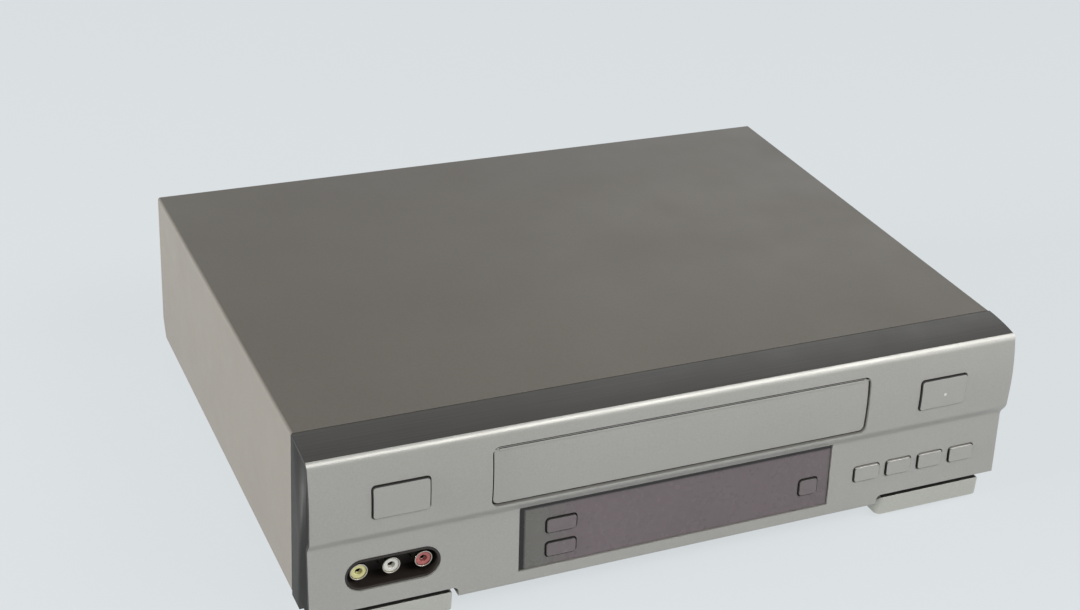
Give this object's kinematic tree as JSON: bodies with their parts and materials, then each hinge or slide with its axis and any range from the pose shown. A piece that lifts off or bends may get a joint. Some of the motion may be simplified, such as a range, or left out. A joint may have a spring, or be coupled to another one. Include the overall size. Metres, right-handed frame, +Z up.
{
  "type": "vhs video cassette recorder",
  "caption": "Front-loading VHS video cassette recorder in a grey steel case, with a hinged cassette door, smoked window, push buttons, front and rear phono jacks and a tape deck inside.",
  "frame": {"origin": "on the surface it stands on, under the centre of the overall box", "axes": "+X along the front, to the right of someone facing it (longest); +Y to the back; +Z up (shortest)"},
  "size_m": [0.36, 0.2778, 0.094],
  "materials": {
    "cover_paint": "satin taupe-grey enamel",
    "zinc_steel": "zinc-plated pressed steel",
    "panel_silver": "silver-lacquered ABS",
    "strip_dark": "dark hairline",
    "smoked_window": "smoked acrylic",
    "button_silver": "silver-lacquered ABS",
    "black_plastic": "moulded black",
    "nickel": "nickel plate",
    "yellow_plastic": "moulded",
    "white_plastic": "moulded",
    "red_plastic": "moulded",
    "rubber": "matt",
    "screw_steel": "blackened",
    "spring_steel": "drawn wire",
    "circuit_board": "phenolic board",
    "board_black": "moulded epoxy",
    "tube_glass": "dark display glass",
    "ferrite": "ferrite and tape",
    "aluminium": "turned",
    "bronze": "sintered bronze",
    "deck_plastic": "moulded acetal",
    "white_acetal": "moulded acetal"
  },
  "bodies": {
    "case": {"top_cover": "cover_paint", "base_tray": "zinc_steel", "rear_panel": "zinc_steel", "front_panel": "panel_silver", "front_top_trim": "strip_dark", "display_window": "smoked_window", "front_feet": "panel_silver", "rubber_feet": "rubber", "case_screws": "screw_steel", "door_spring": "spring_steel", "jack_housings": "black_plastic", "power_inlet": "black_plastic", "tuner": "nickel", "front_board": "circuit_board", "key_switches": "board_black", "display_tube": "tube_glass", "main_board": "circuit_board", "board_parts": "board_black", "power_transformer": "ferrite", "heat_sink": "aluminium", "deck_plate": "zinc_steel", "lower_drum": "aluminium", "motor_stators": "circuit_board", "bearing_bushes": "bronze", "reel_belt": "rubber", "loading_motor": "zinc_steel", "tape_heads": "aluminium", "carrier_frame": "zinc_steel", "jack_shells": "nickel", "yellow_jack_inserts": "yellow_plastic", "white_jack_inserts": "white_plastic", "red_jack_inserts": "red_plastic"},
    "cassette_door": {"cassette_door": "panel_silver"},
    "power_button": {"power_button": "button_silver"},
    "eject_button": {"eject_button": "button_silver"},
    "channel_up_button": {"channel_up_button": "button_silver"},
    "channel_down_button": {"channel_down_button": "button_silver"},
    "record_button": {"record_button": "button_silver"},
    "rewind_button": {"rewind_button": "button_silver"},
    "play_button": {"play_button": "button_silver"},
    "fast_forward_button": {"fast_forward_button": "button_silver"},
    "stop_button": {"stop_button": "button_silver"},
    "carrier_slider": {"carrier_racks": "white_acetal"},
    "carrier": {"cassette_carrier": "zinc_steel"},
    "carrier_pinion": {"carrier_pinion": "deck_plastic"},
    "head_drum": {"upper_drum": "aluminium", "drum_rotor": "zinc_steel"},
    "capstan": {"capstan_flywheel": "zinc_steel"},
    "clutch": {"clutch_pulley": "deck_plastic"},
    "idler_arm": {"idler_arm": "zinc_steel"},
    "idler_wheel": {"idler_wheel": "rubber"},
    "supply_reel": {"supply_reel_table": "deck_plastic"},
    "take_up_reel": {"take_up_reel_table": "deck_plastic"},
    "cam_gear": {"cam_gear": "white_acetal"},
    "loading_pinion": {"loading_pinion": "deck_plastic"},
    "supply_guide": {"supply_guide": "deck_plastic"},
    "take_up_guide": {"take_up_guide": "deck_plastic"},
    "pinch_arm": {"pinch_arm": "zinc_steel"},
    "pinch_roller": {"pinch_roller": "rubber"},
    "tension_arm": {"tension_arm": "zinc_steel"}
  },
  "joints": [
    {"name": "door_swing", "type": "hinge", "parent": "case", "child": "cassette_door", "pos_m": [0, -0.13395, 0.0822], "axis": [1, 0, 0], "range_deg": [0, 88], "stiffness_Nm_per_rad": 0.01, "springref_deg": -28.65},
    {"name": "power_press", "type": "slide", "parent": "case", "child": "power_button", "axis": [0, 1, 0], "range_m": [0, 0.0012], "stiffness_N_per_m": 600, "springref_m": -0.001},
    {"name": "eject_press", "type": "slide", "parent": "case", "child": "eject_button", "axis": [0, 1, 0], "range_m": [0, 0.0012], "stiffness_N_per_m": 600, "springref_m": -0.001},
    {"name": "channel_up_press", "type": "slide", "parent": "case", "child": "channel_up_button", "axis": [0, 1, 0], "range_m": [0, 0.0012], "stiffness_N_per_m": 600, "springref_m": -0.001},
    {"name": "channel_down_press", "type": "slide", "parent": "case", "child": "channel_down_button", "axis": [0, 1, 0], "range_m": [0, 0.0012], "stiffness_N_per_m": 600, "springref_m": -0.001},
    {"name": "record_press", "type": "slide", "parent": "case", "child": "record_button", "axis": [0, 1, 0], "range_m": [0, 0.0012], "stiffness_N_per_m": 600, "springref_m": -0.001},
    {"name": "rewind_press", "type": "slide", "parent": "case", "child": "rewind_button", "axis": [0, 1, 0], "range_m": [0, 0.0012], "stiffness_N_per_m": 600, "springref_m": -0.001},
    {"name": "play_press", "type": "slide", "parent": "case", "child": "play_button", "axis": [0, 1, 0], "range_m": [0, 0.0012], "stiffness_N_per_m": 600, "springref_m": -0.001},
    {"name": "fast_forward_press", "type": "slide", "parent": "case", "child": "fast_forward_button", "axis": [0, 1, 0], "range_m": [0, 0.0012], "stiffness_N_per_m": 600, "springref_m": -0.001},
    {"name": "stop_press", "type": "slide", "parent": "case", "child": "stop_button", "axis": [0, 1, 0], "range_m": [0, 0.0012], "stiffness_N_per_m": 600, "springref_m": -0.001},
    {"name": "carrier_in", "type": "slide", "parent": "case", "child": "carrier_slider", "axis": [0, 1, 0], "range_m": [0, 0.055]},
    {"name": "carrier_drop", "type": "slide", "parent": "carrier_slider", "child": "carrier", "axis": [0, 0, 1], "range_m": [-0.02, 0]},
    {"name": "carrier_pinion_turn", "type": "hinge", "parent": "case", "child": "carrier_pinion", "pos_m": [0.1, -0.041, 0.0388], "axis": [1, 0, 0], "range_deg": [-525.7, 0]},
    {"name": "drum_spin", "type": "hinge", "parent": "case", "child": "head_drum", "pos_m": [-0.004, 0.038, 0.0306], "axis": [0, -0.1028, 0.9947], "continuous": true},
    {"name": "capstan_spin", "type": "hinge", "parent": "case", "child": "capstan", "pos_m": [0.072, -0.006, 0.0306], "axis": [0, 0, 1], "continuous": true},
    {"name": "clutch_spin", "type": "hinge", "parent": "case", "child": "clutch", "pos_m": [0, -0.04, 0.0306], "axis": [0, 0, 1], "continuous": true},
    {"name": "idler_swing", "type": "hinge", "parent": "case", "child": "idler_arm", "pos_m": [0, -0.04, 0.0306], "axis": [0, 0, 1], "range_deg": [-33, 33]},
    {"name": "idler_spin", "type": "hinge", "parent": "idler_arm", "child": "idler_wheel", "pos_m": [0, -0.0623, 0.0306], "axis": [0, 0, 1], "continuous": true},
    {"name": "supply_reel_spin", "type": "hinge", "parent": "case", "child": "supply_reel", "pos_m": [-0.04625, -0.056, 0.0306], "axis": [0, 0, 1], "continuous": true},
    {"name": "take_up_reel_spin", "type": "hinge", "parent": "case", "child": "take_up_reel", "pos_m": [0.04625, -0.056, 0.0306], "axis": [0, 0, 1], "continuous": true},
    {"name": "cam_turn", "type": "hinge", "parent": "case", "child": "cam_gear", "pos_m": [0.076, 0.058, 0.0306], "axis": [0, 0, 1], "range_deg": [0, 270]},
    {"name": "loading_pinion_turn", "type": "hinge", "parent": "case", "child": "loading_pinion", "pos_m": [0.076, 0.086, 0.0306], "axis": [0, 0, 1], "range_deg": [-1243, 0]},
    {"name": "supply_guide_load", "type": "slide", "parent": "case", "child": "supply_guide", "axis": [-0.128, 0.9918, 0], "range_m": [0, 0.06253]},
    {"name": "take_up_guide_load", "type": "slide", "parent": "case", "child": "take_up_guide", "axis": [0.128, 0.9918, 0], "range_m": [0, 0.06253]},
    {"name": "pinch_swing", "type": "hinge", "parent": "case", "child": "pinch_arm", "pos_m": [0.088, 0.014, 0.0306], "axis": [0, 0, 1], "range_deg": [0, 30.05]},
    {"name": "pinch_roller_spin", "type": "hinge", "parent": "pinch_arm", "child": "pinch_roller", "pos_m": [0.06854, 0.0123, 0.0306], "axis": [0, 0, 1], "continuous": true},
    {"name": "tension_swing", "type": "hinge", "parent": "case", "child": "tension_arm", "pos_m": [-0.074, 0.014, 0.0306], "axis": [0, 0, 1], "range_deg": [-18.05, 0]}
  ],
  "couplings": [
    {"joint": "loading_pinion_turn", "follows": "cam_turn", "ratio": -4.6},
    {"joint": "carrier_pinion_turn", "follows": "carrier_in", "rad_per_m": -166.67},
    {"joint": "supply_guide_load", "follows": "cam_turn", "m_per_rad": 0.013266},
    {"joint": "take_up_guide_load", "follows": "cam_turn", "m_per_rad": 0.013266},
    {"joint": "pinch_swing", "follows": "cam_turn", "ratio": 0.11111},
    {"joint": "tension_swing", "follows": "cam_turn", "ratio": -0.066667},
    {"joint": "clutch_spin", "follows": "capstan_spin", "ratio": 0.62264},
    {"joint": "idler_spin", "follows": "capstan_spin", "ratio": -0.35579}
  ]
}
